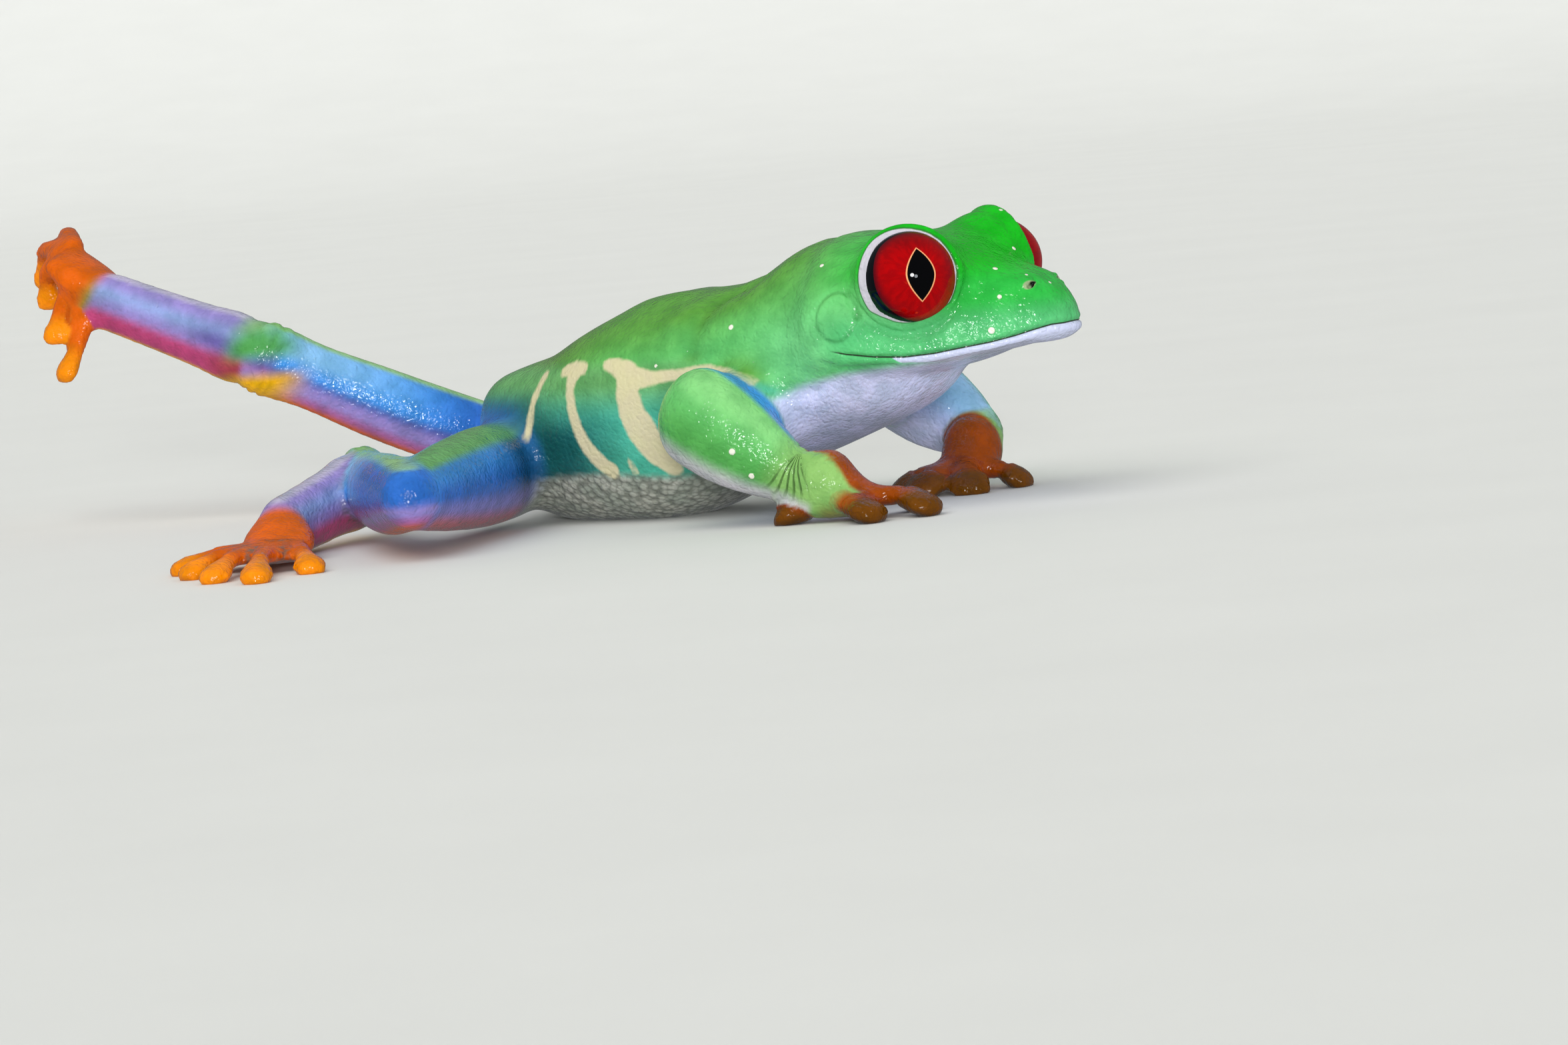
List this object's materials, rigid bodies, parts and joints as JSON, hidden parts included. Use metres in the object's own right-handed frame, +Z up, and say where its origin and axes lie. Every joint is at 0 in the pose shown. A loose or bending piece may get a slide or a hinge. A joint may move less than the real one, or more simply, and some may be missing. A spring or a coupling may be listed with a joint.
{
  "type": "red-eyed tree frog",
  "caption": "Still life-size red-eyed tree frog at rest on its belly and hands, head raised, with a hind leg stretched out behind.",
  "frame": {"origin": "on the floor, on the small flat under the belly where the trunk rests", "axes": "+X forward along the body towards the snout, +Y to the frog's left, +Z up"},
  "size_m": [0.1034, 0.0652, 0.0239],
  "materials": {
    "skin_green": "wet satin",
    "skin_blue": "wet satin",
    "skin_orange": "wet satin",
    "eye_red": "gloss"
  },
  "bodies": {
    "root": {"eye_l": "eye_red", "eye_r": "eye_red", "head": "skin_green", "trunk": "skin_green", "upper_arm_l": "skin_green", "forearm_l": "skin_green", "hand_l": "skin_orange", "finger_l_1": "skin_orange", "finger_l_2": "skin_orange", "finger_l_3": "skin_orange", "finger_l_4": "skin_orange", "upper_arm_r": "skin_green", "forearm_r": "skin_green", "hand_r": "skin_orange", "finger_r_1": "skin_orange", "finger_r_2": "skin_orange", "finger_r_3": "skin_orange", "finger_r_4": "skin_orange", "thigh_l": "skin_blue", "shank_l": "skin_blue", "tarsus_l": "skin_blue", "foot_l": "skin_orange", "toe_l_1": "skin_orange", "toe_l_2": "skin_orange", "toe_l_3": "skin_orange", "toe_l_4": "skin_orange", "toe_l_5": "skin_orange", "thigh_r": "skin_blue", "shank_r": "skin_blue", "tarsus_r": "skin_blue", "foot_r": "skin_orange", "toe_r_1": "skin_orange", "toe_r_2": "skin_orange", "toe_r_3": "skin_orange", "toe_r_4": "skin_orange", "toe_r_5": "skin_orange"}
  },
  "joints": []
}
